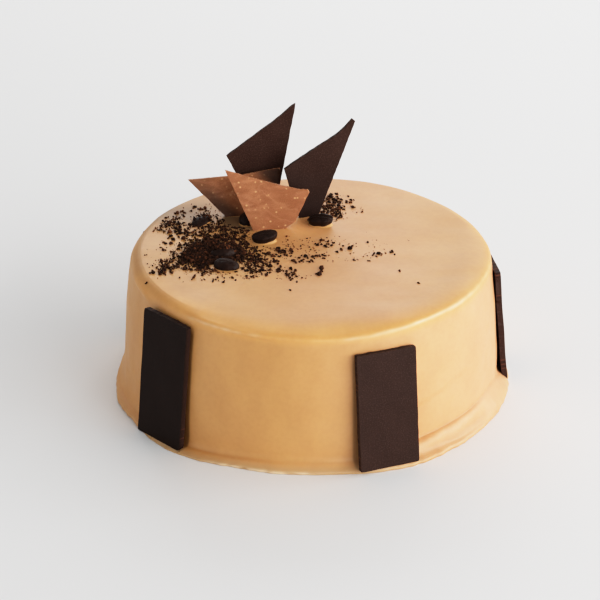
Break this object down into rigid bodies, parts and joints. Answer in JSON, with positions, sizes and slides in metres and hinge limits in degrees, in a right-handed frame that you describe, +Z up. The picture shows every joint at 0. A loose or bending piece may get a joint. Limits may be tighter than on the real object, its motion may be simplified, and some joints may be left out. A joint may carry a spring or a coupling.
{
  "type": "cappuccino cake",
  "caption": "Round uncut cake under poured coffee glaze, ringed by leaning dark chocolate tablets and topped with chocolate shards, coffee beans and grounds; a dessert to serve.",
  "frame": {"origin": "centre of the cake's underside, where it rests", "axes": "+Z up through the top, -Y toward the front that the picture shows"},
  "size_m": [0.1911, 0.1908, 0.1192],
  "materials": {
    "glaze": "satin",
    "dark_chocolate": "matte",
    "milk_chocolate": "satin",
    "coffee_bean": "satin"
  },
  "bodies": {
    "root": {"cake": "glaze", "plaque_1": "dark_chocolate", "plaque_2": "dark_chocolate", "plaque_3": "dark_chocolate", "plaque_4": "dark_chocolate", "plaque_5": "dark_chocolate", "shard_milk_front": "milk_chocolate", "shard_milk_back": "milk_chocolate", "shard_dark_back": "dark_chocolate", "shard_dark_front": "dark_chocolate", "bean_1": "coffee_bean", "bean_2": "coffee_bean", "bean_3": "coffee_bean", "bean_4": "coffee_bean", "bean_5": "coffee_bean", "bean_6": "coffee_bean"}
  },
  "joints": []
}
